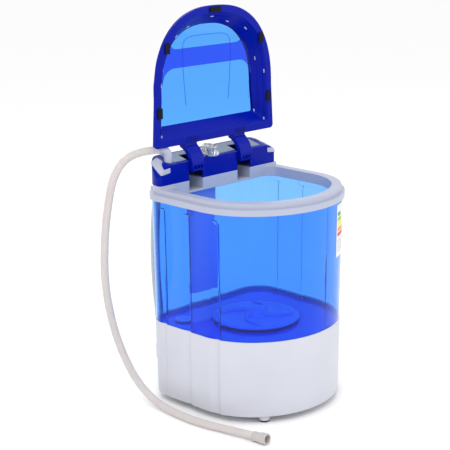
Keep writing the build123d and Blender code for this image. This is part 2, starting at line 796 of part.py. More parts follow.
def lid_ring():
    """Inner ring: flat closing face and a sloping wall down to the window."""
    ring = lid_loft(FACE_W, 0, WINDOW_INSET - 1, 24.7)
    ring -= lid_loft(FACE_W + WALL, 0, WINDOW_INSET - 1 + WALL, 24.7)
    ring += lid_prism(0, 0, WALL) - lid_prism(FACE_W + WALL - 0.1, -1, WALL + 1)
    return ring - heel_cut(0)


def lid_window():
    return lid_prism(WINDOW_INSET - 3, 25.0, LID_DEPTH - WALL, heel=29) - heel_cut(3.3)


def lid_band():
    """Grip band across the inside of the window."""
    strip = lid_prism(WINDOW_INSET + 2, 22.0, 25.0, heel=34)
    return strip & block(-200, 200, 0, 300, 678, 715)


PAD_T = 2.6
PAD_SPOTS = [(-155, 598), (155, 598), (-132, 722), (132, 722), (0, 788)]


def lid_pads():
    """Rubber buffers on the closing face."""
    pads = []
    for x, z in PAD_SPOTS:
        wide, tall = (12, 21) if x else (30, 11)
        pad = Pos(x, LID_Y - PAD_T / 2, z) * Box(wide, PAD_T, tall)
        pads.append(fillet(pad.edges().filter_by(Axis.Y), 1.5))
    return Compound(children=pads)


# ---------------------------------------------------------------- all nodes
def build_nodes():
    nodes = {
        "base_shell": base_shell(),
        "bottom_plate": bottom_plate(),
        "base_screws": base_screws(),
        "cord_gland": cord_gland(),
        "wash_tub": wash_tub(),
        "rim_frame": rim_frame(),
        "overflow_duct": overflow_duct(),
        "drain_strainer": drain_strainer(),
        "energy_label": energy_label(),
        "control_box": control_box(),
        "control_panel": control_panel(),
        "panel_screws": panel_screws(),
        "knob_bezel": knob_bezel(),
        "timer_body": timer_body(),
        "timer_shaft": timer_shaft(),
        "timer_knob": timer_knob(),
        "inlet_elbow": inlet_elbow(),
        "inlet_hose": inlet_hose(),
        "tap_connector": tap_connector(),
        "drain_elbow": drain_elbow(),
        "drain_hose": drain_hose(),
        "drain_hook": drain_hook(),
        "pulsator": pulsator(),
        "pulsator_cap": pulsator_cap(),
        "pulsator_screw": pulsator_screw(),
        "pulsator_shaft": pulsator_shaft(),
        "large_pulley": large_pulley(),
        "pulley_nut": pulley_nut(),
        "drive_belt": drive_belt(),
        "shaft_housing": shaft_housing(),
        "water_seal": water_seal(),
        "motor_case": motor_case(),
        "motor_shaft": motor_shaft(),
        "motor_pulley": motor_pulley(),
        "motor_bracket": motor_bracket(),
        "capacitor": capacitor(),
        "terminal_block": terminal_block(),
        "lid_frame": lid_frame(),
        "lid_ring": lid_ring(),
        "lid_window": lid_window(),
        "lid_band": lid_band(),
        "lid_pads": lid_pads(),
    }
    for name, (x, y) in FOOT_SPOTS.items():
        nodes[name] = foot(x, y)
    for word, side in (("left", -1), ("right", 1)):
        nodes["hinge_arm_" + word] = hinge_arm(side)
        nodes["hinge_pin_" + word] = hinge_pin(side)
        nodes["hinge_bracket_" + word] = hinge_bracket(side)
        nodes["hose_clip_" + word] = clip_band(side)
    return nodes


def main():
    os.makedirs("parts", exist_ok=True)
    for name, solid in build_nodes().items():
        export_step(solid, os.path.join("parts", name + ".step"))


main()
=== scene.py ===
# %% [markdown]
# # A small top load washing machine
#
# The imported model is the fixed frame: every piece below is placed by its numbers.
# The finished machine has a white base, a clear blue tub with a white rim, a blue
# control box across the back, and a D-shaped lid that stands open.

# %% Load the frame
import json
from math import asin, copysign, cos, pi, radians, sin, sqrt

import bmesh
import bpy
from mathutils import Matrix, Vector
from mathutils.bvhtree import BVHTree
from mathutils.kdtree import KDTree


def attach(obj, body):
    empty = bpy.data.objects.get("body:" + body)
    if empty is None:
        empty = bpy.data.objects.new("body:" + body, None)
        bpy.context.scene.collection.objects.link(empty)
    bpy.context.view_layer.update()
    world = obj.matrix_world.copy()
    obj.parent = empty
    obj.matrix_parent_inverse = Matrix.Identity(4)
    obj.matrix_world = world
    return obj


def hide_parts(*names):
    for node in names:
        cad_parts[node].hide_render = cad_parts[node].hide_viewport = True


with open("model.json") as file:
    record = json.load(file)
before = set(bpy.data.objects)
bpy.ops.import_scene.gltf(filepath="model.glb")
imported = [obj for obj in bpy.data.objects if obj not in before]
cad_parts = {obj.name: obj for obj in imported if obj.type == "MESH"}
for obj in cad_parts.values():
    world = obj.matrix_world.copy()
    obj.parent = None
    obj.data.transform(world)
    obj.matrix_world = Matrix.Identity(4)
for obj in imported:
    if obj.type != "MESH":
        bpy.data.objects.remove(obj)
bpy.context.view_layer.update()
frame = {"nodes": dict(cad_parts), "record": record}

# %% [markdown]
# ## Camera
# A long lens from the front left, a little above the rim, shows the inside of the
# tub and the closing face of the open lid. A long lens keeps upright edges upright.
# The shift frames the machine with its hose without turning the camera.

# %% Camera
CAMERA_PLACE = (-1.8566, -1.7693, 1.0331)
CAMERA_TURN = -47.0
CAMERA_DOWN = 17.35
LENS = 104.0

camera = bpy.data.objects.new("camera", bpy.data.cameras.new("camera"))
bpy.context.scene.collection.objects.link(camera)
camera.location = CAMERA_PLACE
camera.rotation_euler = (radians(90 - CAMERA_DOWN), 0, radians(CAMERA_TURN))
camera.data.lens = LENS
camera.data.sensor_width = 36
camera.data.shift_x = -0.0948
camera.data.shift_y = 0.1370
camera.data.clip_end = 100
bpy.context.scene.camera = camera
print("camera at", CAMERA_PLACE)

# %% [markdown]
# ## Small helpers
# Operators act on whatever is selected, and the imported nodes start selected, so
# each piece begins by clearing the selection. `settle` puts a finished piece's place
# into its mesh and hands it to a body of the frame, so that it moves with it.


# %% Helpers for starting and settling a piece
def clear():
    if bpy.context.mode != "OBJECT":
        bpy.ops.object.mode_set(mode="OBJECT")
    bpy.ops.object.select_all(action="DESELECT")


def pick(piece):
    clear()
    piece.select_set(True)
    bpy.context.view_layer.objects.active = piece


def settle(piece, name, body, smooth=35, replaces=()):
    pick(piece)
    bpy.ops.object.transform_apply(location=True, rotation=True, scale=True)
    piece.name = name
    piece.data.name = name
    bpy.ops.object.shade_smooth_by_angle(angle=radians(smooth))
    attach(piece, body)
    if replaces:
        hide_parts(*replaces)
    print(name, "faces", len(piece.data.polygons))
    return piece


def outwards(piece):
    pick(piece)
    bpy.ops.object.mode_set(mode="EDIT")
    bpy.ops.mesh.select_all(action="SELECT")
    bpy.ops.mesh.remove_doubles(threshold=0.00001)
    bpy.ops.mesh.delete_loose()
    bpy.ops.mesh.select_all(action="SELECT")
    bpy.ops.mesh.normals_make_consistent(inside=False)
    bpy.ops.object.mode_set(mode="OBJECT")


def modify(piece, kind, **values):
    pick(piece)
    modifier = piece.modifiers.new(kind.lower(), kind)
    for key, value in values.items():
        setattr(modifier, key, value)
    bpy.ops.object.modifier_apply(modifier=modifier.name)


def copied(piece, placing):
    """A copy with its own mesh, its place changed by the matrix placing."""
    made = piece.copy()
    made.data = piece.data.copy()
    bpy.context.scene.collection.objects.link(made)
    made.data.transform(made.matrix_basis)
    made.matrix_basis = Matrix()
    made.data.transform(placing)
    return made


def copies(piece, placings):
    """One copy for each placing; the model they were made from is removed."""
    made = [copied(piece, placing) for placing in placings]
    bpy.data.objects.remove(piece)
    return made


def joined(pieces):
    pick(pieces[0])
    for other in pieces:
        other.select_set(True)
    bpy.ops.object.join()
    return bpy.context.object


# %% [markdown]
# ## Finishes: what the surfaces are made of
# Nearly all of the machine is moulded plastic. A tool leaves a fine grain on it, the
# gloss is never quite even, and the surface waves a little where the plastic has
# shrunk over its ribs. One node group makes these three for every plastic, and each
# material gives it its own sizes. It reads object coordinates, so that it stays still
# on a piece that moves.


# %% The moulded surface group
def node(tree, kind, **values):
    made = tree.nodes.new(kind)
    for key, value in values.items():
        setattr(made, key, value)
    return made


def moulded_group():
    group = bpy.data.node_groups.new("moulded_surface", "ShaderNodeTree")
    face = group.interface
    for name, start in (("Grain Size", 900.0), ("Wave Size", 14.0), ("Roughness", 0.3),
                        ("Unevenness", 0.06)):
        socket = face.new_socket(name=name, in_out="INPUT", socket_type="NodeSocketFloat")
        socket.default_value = start
    face.new_socket(name="Colour", in_out="INPUT", socket_type="NodeSocketColor")
    face.new_socket(name="Shade", in_out="INPUT", socket_type="NodeSocketColor")
    face.new_socket(name="Colour", in_out="OUTPUT", socket_type="NodeSocketColor")
    face.new_socket(name="Roughness", in_out="OUTPUT", socket_type="NodeSocketFloat")
    face.new_socket(name="Height", in_out="OUTPUT", socket_type="NodeSocketFloat")
    put = node(group, "NodeGroupInput")
    out = node(group, "NodeGroupOutput")
    place = node(group, "ShaderNodeTexCoord")
    grain = node(group, "ShaderNodeTexNoise")
    wave = node(group, "ShaderNodeTexNoise")
    grain.inputs["Detail"].default_value = 2
    wave.inputs["Detail"].default_value = 3
    link = group.links.new
    link(place.outputs["Object"], grain.inputs["Vector"])
    link(place.outputs["Object"], wave.inputs["Vector"])
    link(put.outputs["Grain Size"], grain.inputs["Scale"])
    link(put.outputs["Wave Size"], wave.inputs["Scale"])
    centred = node(group, "ShaderNodeMath", operation="SUBTRACT")
    link(wave.outputs["Fac"], centred.inputs[0])
    centred.inputs[1].default_value = 0.5
    uneven = node(group, "ShaderNodeMath", operation="MULTIPLY_ADD")
    link(centred.outputs[0], uneven.inputs[0])
    link(put.outputs["Unevenness"], uneven.inputs[1])
    link(put.outputs["Roughness"], uneven.inputs[2])
    link(uneven.outputs[0], out.inputs["Roughness"])
    relief = node(group, "ShaderNodeMath", operation="MULTIPLY_ADD")
    link(wave.outputs["Fac"], relief.inputs[0])
    relief.inputs[1].default_value = 1.6
    link(grain.outputs["Fac"], relief.inputs[2])
    link(relief.outputs[0], out.inputs["Height"])
    mix = node(group, "ShaderNodeMix", data_type="RGBA")
    link(wave.outputs["Fac"], mix.inputs["Factor"])
    link(put.outputs["Colour"], mix.inputs["A"])
    link(put.outputs["Shade"], mix.inputs["B"])
    link(mix.outputs["Result"], out.inputs["Colour"])
    return group


MOULDED = moulded_group()


def material(name, colour, shade=None, roughness=0.3, uneven=0.06, grain=900, wave=14,
             bump=0.05, edge=0.0, **sockets):
    """A moulded plastic: the group's colour, roughness and relief on a Principled."""
    made = bpy.data.materials.new(name)
    made.use_nodes = True
    tree = made.node_tree
    shader = tree.nodes["Principled BSDF"]
    surface = node(tree, "ShaderNodeGroup", node_tree=MOULDED)
    shade = shade or tuple(0.93 * c for c in colour)
    surface.inputs["Colour"].default_value = (*colour, 1)
    surface.inputs["Shade"].default_value = (*shade, 1)
    surface.inputs["Roughness"].default_value = roughness
    surface.inputs["Unevenness"].default_value = uneven
    surface.inputs["Grain Size"].default_value = grain
    surface.inputs["Wave Size"].default_value = wave
    link = tree.links.new
    link(surface.outputs["Colour"], shader.inputs["Base Color"])
    link(surface.outputs["Roughness"], shader.inputs["Roughness"])
    relief = node(tree, "ShaderNodeBump")
    relief.inputs["Strength"].default_value = bump
    relief.inputs["Distance"].default_value = 0.0004
    link(surface.outputs["Height"], relief.inputs["Height"])
    link(relief.outputs["Normal"], shader.inputs["Normal"])
    if edge:
        rounding = node(tree, "ShaderNodeBevel", samples=6)
        rounding.inputs["Radius"].default_value = edge
        link(rounding.outputs["Normal"], relief.inputs["Normal"])
    for key, value in sockets.items():
        shader.inputs[key.replace("_", " ")].default_value = value
    return made


# %% [markdown]
# Clear plastic is a glass shader with a tint. Light crosses two surfaces of each
# wall, and a Principled node tints by the root of its colour at each, so the colour
# given here is that of white light after one wall. Lamp light would stop at such a
# wall, because rays towards a lamp can't bend, so those rays meet a tinted
# transparent shader in place of the glass.


# %% Clear plastics
def let_lamps_through(made, tint):
    tree = made.node_tree
    shader = tree.nodes["Principled BSDF"]
    out = tree.nodes["Material Output"]
    path = node(tree, "ShaderNodeLightPath")
    clear_way = node(tree, "ShaderNodeBsdfTransparent")
    clear_way.inputs["Color"].default_value = (*tint, 1)
    choice = node(tree, "ShaderNodeMixShader")
    tree.links.new(path.outputs["Is Shadow Ray"], choice.inputs["Fac"])
    tree.links.new(shader.outputs["BSDF"], choice.inputs[1])
    tree.links.new(clear_way.outputs["BSDF"], choice.inputs[2])
    tree.links.new(choice.outputs["Shader"], out.inputs["Surface"])
    return made


def clear_plastic(name, tint, roughness=0.04, bump=0.05, ior=1.3, **more):
    made = material(name, tint, shade=tint, roughness=roughness, uneven=0.02, bump=bump,
                    grain=40, wave=9, Transmission_Weight=1.0, IOR=ior, **more)
    return let_lamps_through(made, tuple(sqrt(c) for c in tint))


TUB_TINT = (0.20, 0.50, 1.0)
WINDOW_TINT = (0.085, 0.40, 1.0)
BAND_TINT = (0.15, 0.22, 0.96)

FINISH = {
    "white_plastic": material("white_plastic", (0.44, 0.47, 0.59), roughness=0.36, edge=0.0014,
                              bump=0.04),
    "base_plastic": material("base_plastic", (0.60, 0.61, 0.68), roughness=0.42, edge=0.0012,
                             bump=0.06),
    "clear_blue_tub": clear_plastic("clear_blue_tub", TUB_TINT, bump=0.10),
    "clear_blue_window": clear_plastic("clear_blue_window", WINDOW_TINT),
    "clear_blue_band": clear_plastic("clear_blue_band", BAND_TINT),
    "blue_plastic": material("blue_plastic", (0.0, 0.009, 0.34), (0.0, 0.007, 0.29), roughness=0.24,
                             edge=0.0009, bump=0.03, Specular_IOR_Level=0.09),
    "blue_shadow": material("blue_shadow", (0.0, 0.002, 0.09), roughness=0.5,
                            Specular_IOR_Level=0.1),
    # The deck is white in truth; its blue here is painted shade and painted tinted light.
    "deck_painted_tint_shade": material("deck_painted_tint_shade", (0.16, 0.27, 0.92), roughness=0.4, bump=0.04),
    "duct_blue": material("duct_blue", (0.22, 0.34, 0.95), roughness=0.26, edge=0.0009),
    "pulsator_blue": material("pulsator_blue", (0.13, 0.25, 0.90), (0.09, 0.20, 0.80),
                              roughness=0.3, edge=0.001, Specular_IOR_Level=0.3),
    "silver_panel": material("silver_panel", (0.22, 0.30, 0.42), (0.17, 0.24, 0.37), roughness=0.3,
                             edge=0.0005, wave=30, Metallic=0.55),
    "chrome_trim": material("chrome_trim", (0.62, 0.65, 0.70), roughness=0.12, bump=0.02,
                            Metallic=1.0),
    "connector_rubber": material("connector_rubber", (0.56, 0.53, 0.51), (0.48, 0.46, 0.44),
                                 roughness=0.45, edge=0.0008, Subsurface_Weight=0.3,
                                 Subsurface_Scale=0.003),
    "black_rubber": material("black_rubber", (0.006, 0.006, 0.010), roughness=0.62, edge=0.0005,
                             bump=0.15, Specular_IOR_Level=0.12),
    "steel": material("steel", (0.55, 0.55, 0.56), roughness=0.28, Metallic=1.0),
    "black_plastic": material("black_plastic", (0.015, 0.015, 0.017), roughness=0.45, edge=0.0006),
    "motor_paint": material("motor_paint", (0.12, 0.12, 0.13), roughness=0.4, edge=0.0008,
                            Metallic=0.4),
    "label": material("label", (0.80, 0.80, 0.78), roughness=0.45),
    "clear_knob": clear_plastic("clear_knob", (0.90, 0.92, 0.95), roughness=0.02, ior=1.49,
                                bump=0.02),
}
print("finishes", len(FINISH))

# %% [markdown]
# The hoses are soft PVC, milky more than clear: light goes in, wanders and comes out
# again. Subsurface scattering with a little transmission gives that, and it is
# cheaper and calmer than a true volume.

# %% Hose plastics
FINISH["hose_pvc"] = material(
    "hose_pvc", (0.74, 0.70, 0.69), (0.69, 0.65, 0.64), roughness=0.3, bump=0.04, wave=40,
    Transmission_Weight=0.35, IOR=1.25, Subsurface_Weight=0.5, Subsurface_Scale=0.004)
let_lamps_through(FINISH["hose_pvc"], (0.55, 0.53, 0.52))
FINISH["drain_hose_grey"] = material(
    "drain_hose_grey", (0.52, 0.54, 0.56), (0.46, 0.48, 0.50), roughness=0.4, wave=40)


# %% [markdown]
# ## The inlet hose
# A length of clear PVC hose is pushed onto the elbow behind the control box. It bows
# out, falls behind the left side and lies along the floor in front of it. A smooth
# curve through control points is the honest way to draw it: a hose has one stiffness,
# so its line has no corners. Its bevel gives the round section.

# %% Inlet hose
HOSE_RADIUS = 0.008
HOSE_ROUTE = [
    (-0.1446, 0.1208, 0.5235), (-0.173, 0.137, 0.5235), (-0.210, 0.149, 0.512),
    (-0.234, 0.1565, 0.481), (-0.245, 0.161, 0.436), (-0.255, 0.166, 0.364),
    (-0.259, 0.168, 0.271), (-0.244, 0.169, 0.180), (-0.221, 0.165, 0.103),
    (-0.202, 0.141, 0.038), (-0.201, 0.082, 0.008), (-0.210, 0.014, 0.008),
    (-0.209, -0.058, 0.008), (-0.194, -0.120, 0.008), (-0.187, -0.174, 0.0103),
]


def hose(name, route, radius, finish):
    line = bpy.data.curves.new(name, "CURVE")
    line.dimensions = "3D"
    spline = line.splines.new("NURBS")
    spline.points.add(len(route) - 1)
    for point, place in zip(spline.points, route):
        point.co = (*place, 1)
    spline.order_u = 3
    spline.use_endpoint_u = True
    spline.resolution_u = 8
    line.bevel_depth = radius
    line.bevel_resolution = 6
    line.use_fill_caps = True
    piece = bpy.data.objects.new(name, line)
    bpy.context.scene.collection.objects.link(piece)
    piece.data.materials.append(FINISH[finish])
    return piece


inlet = hose("clear_inlet_hose", HOSE_ROUTE, HOSE_RADIUS, "hose_pvc")
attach(inlet, "chassis")
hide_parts("inlet_hose")

# %% [markdown]
# ## Every node of the frame gets its finish
# The record names a material slot for each node. The nodes whose shape is already
# right, such as the screws, pulleys and hinge pins, only need the finish.

# %% Finish for the nodes that stay
OWN_FINISH = {"overflow_duct": "duct_blue", "drain_strainer": "duct_blue"}

for entry in frame["record"]["subparts"]:
    part = frame["nodes"][entry["node"]]
    part.data.materials.clear()
    finish = OWN_FINISH.get(entry["node"], entry["material_slot"])
    part.data.materials.append(FINISH[finish])
print("nodes given a finish", len(frame["nodes"]))

# %% [markdown]
# ## The body's outline
# Base and tub share one outline: an elliptical front, straight sides and round back
# corners. Three upright flutes are pressed into each side, shallow at the back edge
# and deep at the front edge, so that light catches one flank of each. They stiffen a
# thin wall. The outline is a list of points, made once, that every level is put on.

# %% Body outline
FRONT_START_Y = -0.0247
FRONT_DEEP = 0.1499
HALF_WIDTH = 0.170
BACK = 0.149
CORNER = 0.053
FLUTES = ((0.104, 0.086), (0.037, 0.016), (-0.039, -0.060))
FLUTE_DEPTH = 0.0042
FLUTE_LIP = 0.0012


def flute_depth(y):
    for back, front in FLUTES:
        if front <= y <= back:
            return FLUTE_DEPTH * (back - y) / (back - front)
    return 0.0


def side_stations():
    """Places along one side, close together where a flute ends."""
    stops = set()
    for back, front in FLUTES:
        for step in range(5):
            stops.add(round(back + (front - back) * step / 4, 5))
        stops.add(round(front - FLUTE_LIP, 5))
    for step in range(9):
        stops.add(round(BACK - CORNER - (BACK - CORNER - FRONT_START_Y) * step / 8, 5))
    return sorted((y for y in stops if FRONT_START_Y <= y <= BACK - CORNER), reverse=True)


def front_angles():
    """Turns along the front from the left side to its middle."""
    turns = [90 * step / 40 for step in range(1, 41)]
    for back, front in FLUTES:
        for y in (back, (back + front) / 2, front, front - FLUTE_LIP):
            if y < FRONT_START_Y:
                turns.append(57.29578 * asin((FRONT_START_Y - y) / FRONT_DEEP))
    return sorted(turns)


def left_half():
    """Unit places of the left half: a function of the inset gives each point."""
    marks = [("back", x) for x in (0.0, 0.25, 0.5, 0.75)]
    marks += [("corner", 90 + 90 * step / 12) for step in range(13)]
    marks += [("side", y) for y in side_stations() if y < BACK - CORNER - 0.0001]
    marks += [("front", turn) for turn in front_angles()]
    return marks


MARKS = left_half()


def outline(inset, z, flute=1.0):
    half = []
    wide = HALF_WIDTH - inset
    back = BACK - inset
    round_ = CORNER - inset
    for kind, value in MARKS:
        if kind == "back":
            x, y = -value * (wide - round_), back
        elif kind == "corner":
            turn = radians(value)
            x, y = round_ * cos(turn) - (wide - round_), back - round_ + round_ * sin(turn)
        elif kind == "side":
            x, y = -wide, value
        else:
            turn = radians(value)
            x = -wide * cos(turn)
            y = FRONT_START_Y - (FRONT_DEEP - inset) * sin(turn)
        half.append((x + flute * flute_depth(y), y, z))
    right = [(-x, y, z) for x, y, z in reversed(half[1:-1])]
    return half + right


print("points round the body", len(outline(0, 0)))

# %% [markdown]
# A wall that follows such an outline starts as a circle primitive with one corner for
# each point. Its edge loop is extruded once for each level, and the new corners are
# put on that level's outline. A Solidify modifier then gives the wall its thickness.


# %% Raising a wall level by level
def loft_up(levels, capped):
    """levels holds one list of places for each height, all equally long."""
    clear()
    count = len(levels[0])
    fill = "NGON" if capped else "NOTHING"
    bpy.ops.mesh.primitive_circle_add(vertices=count, radius=1, fill_type=fill)
    wall = bpy.context.object
    for corner, place in zip(wall.data.vertices, levels[0]):
        corner.co = place
    bpy.ops.object.mode_set(mode="EDIT")
    bpy.ops.mesh.select_mode(type="EDGE")
    bpy.ops.mesh.select_all(action="SELECT")
    before = levels[0]
    for level in levels[1:]:
        bpy.ops.mesh.extrude_edges_move(TRANSFORM_OT_translate={"value": (0, 0, 0)})
        below = KDTree(count)
        for index, place in enumerate(before):
            below.insert(place, index)
        below.balance()
        mesh = bmesh.from_edit_mesh(wall.data)
        for corner in mesh.verts:
            if corner.select:
                corner.co = level[below.find(corner.co)[1]]
        bmesh.update_edit_mesh(wall.data)
        before = level
    bpy.ops.object.mode_set(mode="OBJECT")
    return wall


# %% [markdown]
# ## The tub
# One injection moulding in clear blue plastic, open at the top, so its wall leans out
# a little to leave the tool. The flutes end in a half round below the rim. The floor
# carries the pulsator. Levels lie close together where the flutes close.

# %% Tub
TUB_FOOT_Z = 0.163
SEAM_Z = 0.172
TUB_TOP_Z = 0.4364
TUB_WALL = 0.0025
FLUTE_TOP_Z = 0.413
FLUTE_ROUND = 0.012


def tub_level(z):
    rise = (z - SEAM_Z) / (TUB_TOP_Z - SEAM_Z)
    close = max(0.0, z - (FLUTE_TOP_Z - FLUTE_ROUND)) / FLUTE_ROUND
    fullness = sqrt(max(0.0, 1 - close * close))
    return outline(0.0010 - 0.0026 * rise, z, fullness)


tub_levels = [outline(0.0034, TUB_FOOT_Z), outline(0.0034, SEAM_Z - 0.0002), tub_level(SEAM_Z)]
heights = [SEAM_Z + (FLUTE_TOP_Z - FLUTE_ROUND - SEAM_Z) * step / 8 for step in range(1, 9)]
heights += [FLUTE_TOP_Z - FLUTE_ROUND * (1 - part) for part in (0.35, 0.6, 0.8, 0.92, 0.985, 1.0)]
heights += [TUB_TOP_Z]
tub_levels += [tub_level(z) for z in heights]
tub = loft_up(tub_levels, capped=True)
outwards(tub)
modify(tub, "SOLIDIFY", thickness=TUB_WALL, offset=-1)
tub.data.materials.append(FINISH["clear_blue_tub"])
settle(tub, "fluted_wash_tub", "chassis", replaces=["wash_tub"])

# %% [markdown]
# ## The label's bars
# A printed sticker sits under the rim. Its scale is a ladder of coloured bars, each
# longer than the one above, with grey rules below. They carry no words. Each is a
# grid laid on the curve of the wall and given the thickness of a layer of ink.

# %% Label bars
LABEL_LIFT = 0.00045
INK = 0.00012
INK_COLOURS = {
    "ink_green": (0.01, 0.30, 0.05), "ink_lime": (0.25, 0.55, 0.03),
    "ink_yellow": (0.85, 0.72, 0.02), "ink_orange": (0.85, 0.28, 0.02),
    "ink_red": (0.70, 0.02, 0.02), "ink_grey": (0.25, 0.25, 0.27)}
PRINT_LEFT = 0.071
FIRST_BAR_TOP = 0.404
BAR_STEP = 0.0105
BAR_HIGH = 0.0075
RULE_HEIGHTS = (0.344, 0.337, 0.330, 0.323)
for ink, colour in INK_COLOURS.items():
    FINISH[ink] = material(ink, colour, roughness=0.45, bump=0.02)


def wall_strip(x0, x1, z0, z1):
    clear()
    bpy.ops.mesh.primitive_grid_add(x_subdivisions=10, y_subdivisions=1, size=2)
    strip = bpy.context.object
    for corner in strip.data.vertices:
        x = x0 + (x1 - x0) * (corner.co.x + 1) / 2
        z = z0 + (z1 - z0) * (corner.co.y + 1) / 2
        inset = 0.0010 - 0.0026 * (z - SEAM_Z) / (TUB_TOP_Z - SEAM_Z) - LABEL_LIFT
        wide = HALF_WIDTH - inset
        y = FRONT_START_Y - (FRONT_DEEP - inset) * sqrt(1 - (x / wide) ** 2)
        corner.co = (x, y, z)
    outwards(strip)
    modify(strip, "SOLIDIFY", thickness=INK, offset=0)
    return strip


for step, ink in enumerate(list(INK_COLOURS)[:5]):
    top = FIRST_BAR_TOP - BAR_STEP * step
    bar = wall_strip(PRINT_LEFT, 0.088 + 0.006 * step, top - BAR_HIGH, top)
    bar.data.materials.append(FINISH[ink])
    settle(bar, "label_bar_" + ink.replace("ink_", ""), "chassis")
rules = joined([wall_strip(PRINT_LEFT, 0.121, z, z + 0.0012) for z in RULE_HEIGHTS])
rules.data.materials.append(FINISH["ink_grey"])
settle(rules, "label_rules", "chassis")

# %% [markdown]
# ## The base
# A white skirt that hides the motor and carries the tub. It has the same flutes, so
# the lines run on from the tub to the floor. Its top and bottom edges are rounded by
# two close levels each, because a moulded edge is never sharp.

# %% Base
BASE_FOOT_Z = 0.014
BASE_WALL = 0.003


def base_level(z, pull=0.0):
    return outline(0.0017 * (SEAM_Z - z) / (SEAM_Z - BASE_FOOT_Z) + pull, z)


base_levels = [
    base_level(BASE_FOOT_Z, 0.0016), base_level(BASE_FOOT_Z + 0.0005, 0.0007),
    base_level(BASE_FOOT_Z + 0.0018), base_level(0.06), base_level(0.11),
    base_level(SEAM_Z - 0.0016), base_level(SEAM_Z - 0.0005, 0.0005), base_level(SEAM_Z, 0.0014),
]
base = loft_up(base_levels, capped=False)
outwards(base)
modify(base, "SOLIDIFY", thickness=BASE_WALL - 0.0004, offset=-1)
base.data.materials.append(FINISH["base_plastic"])
settle(base, "fluted_base_skirt", "chassis", replaces=["base_shell"])

# %% [markdown]
# ## The deck under the tub
# The tub stands on a moulded deck inside the base, and the motor hangs below it. The
# real deck is white; it is painted blue here, a painted stand-in for the shade and the
# blue light seen through the tub's floor, so that the floor glows blue instead of
# showing the dark motor space.

# %% Deck
DECK_Z = 0.1606
clear()
deck_ring = outline(0.0032, DECK_Z)
bpy.ops.mesh.primitive_circle_add(vertices=len(deck_ring), radius=1, fill_type="NGON")
deck = bpy.context.object
for corner, place in zip(deck.data.vertices, deck_ring):
    corner.co = place
outwards(deck)
modify(deck, "SOLIDIFY", thickness=0.0018, offset=0)
# Painted blue: it stands for the shade and the blue light seen through the tub's floor.
deck.data.materials.append(FINISH["deck_painted_tint_shade"])
settle(deck, "tub_deck", "chassis")

# %% [markdown]
# ## Feet
# Four short cups are moulded under the base, and a thin rubber pad is pressed into
# each. One cup and one pad are made from cylinders whose rims are bevelled, then
# copied to the other corners, each copy with its own mesh.

# %% Feet
FEET = {"foot_front_left": (-0.100, -0.122), "foot_front_right": (0.100, -0.122),
        "foot_back_left": (-0.115, 0.105), "foot_back_right": (0.115, 0.105)}
PAD_HIGH = 0.0032


def disc(x, y, low, high, radius, bevel, sides=40):
    clear()
    bpy.ops.mesh.primitive_cylinder_add(
        vertices=sides, radius=radius, depth=high - low, location=(x, y, (low + high) / 2))
    made = bpy.context.object
    modify(made, "BEVEL", width=bevel, segments=3, limit_method="ANGLE", angle_limit=radians(40))
    return made


pad_model = disc(0, 0, 0.0, PAD_HIGH, 0.0105, 0.0008)
pad_model.data.materials.append(FINISH["black_rubber"])
cup_model = disc(0, 0, PAD_HIGH, 0.0135, 0.0118, 0.0012)
cup_model.data.materials.append(FINISH["base_plastic"])
for name, (x, y) in FEET.items():
    corner = Matrix.Translation((x, y, 0))
    settle(copied(pad_model, corner), name.replace("foot", "foot_pad"), "chassis",
           replaces=[name])
    settle(copied(cup_model, corner), name.replace("foot", "foot_cup"), "chassis")
for model in (pad_model, cup_model):
    bpy.data.objects.remove(model)

# %% [markdown]
# ## The pulsator
# The disc that swings the water: a low dome, a hub and four swept vanes. The disc
# is a profile turned about the shaft with the spin operator. One vane is a cube cut
# into slices, whose slices are then swept round in a curve and lowered outwards; the
# others are copies turned by a quarter.

# %% Pulsator
AXIS = (0.0, -0.005)
DISC_PROFILE = [(0.0, 0.1905), (0.010, 0.1903), (0.017, 0.1885), (0.0215, 0.1845), (0.0245, 0.1790),
                (0.030, 0.1756), (0.050, 0.1748), (0.070, 0.1743), (0.080, 0.1752), (0.086, 0.1745),
                (0.0895, 0.1722), (0.0900, 0.1705), (0.0880, 0.1684), (0.0, 0.1684)]


def turned(profile, centre, steps=64):
    """A profile of (radius, height) pairs spun about the upright line through centre."""
    clear()
    bpy.ops.mesh.primitive_circle_add(vertices=len(profile), radius=1, fill_type="NOTHING")
    made = bpy.context.object
    for corner, (radius, height) in zip(made.data.vertices, profile):
        corner.co = (centre[0] + radius, centre[1], height)
    bpy.ops.object.mode_set(mode="EDIT")
    bpy.ops.mesh.select_all(action="SELECT")
    bpy.ops.mesh.spin(steps=steps, angle=2 * pi, center=(*centre, 0), axis=(0, 0, 1))
    bpy.ops.object.mode_set(mode="OBJECT")
    outwards(made)
    return made


def vane():
    clear()
    bpy.ops.mesh.primitive_cube_add(size=1)
    made = bpy.context.object
    bpy.ops.object.mode_set(mode="EDIT")
    bpy.ops.mesh.subdivide(number_cuts=7)
    bpy.ops.object.mode_set(mode="OBJECT")
    for corner in made.data.vertices:
        along = corner.co.x + 0.5
        reach = 0.016 + 0.062 * along
        sweep = 0.85 * along ** 1.3
        thick = (0.0125 - 0.005 * along) * corner.co.y
        crown = 1 - 1.6 * corner.co.y ** 2
        top = (0.0125 - 0.0075 * along ** 1.5) * crown * (corner.co.z + 0.5)
        corner.co = (AXIS[0] + reach * cos(sweep) - thick * sin(sweep),
                     AXIS[1] + reach * sin(sweep) + thick * cos(sweep), 0.1725 + top)
    modify(made, "SUBSURF", levels=1, render_levels=1)
    return made


to_axis = Matrix.Translation((*AXIS, 0))
quarters = [to_axis @ Matrix.Rotation(quarter * pi / 2, 4, "Z") @ to_axis.inverted()
            for quarter in range(4)]
pulsator = joined([turned(DISC_PROFILE, AXIS)] + copies(vane(), quarters))
pulsator.data.materials.clear()
pulsator.data.materials.append(FINISH["pulsator_blue"])
settle(pulsator, "swept_pulsator", "pulsator", smooth=40,
       replaces=["pulsator", "pulsator_cap", "pulsator_screw"])

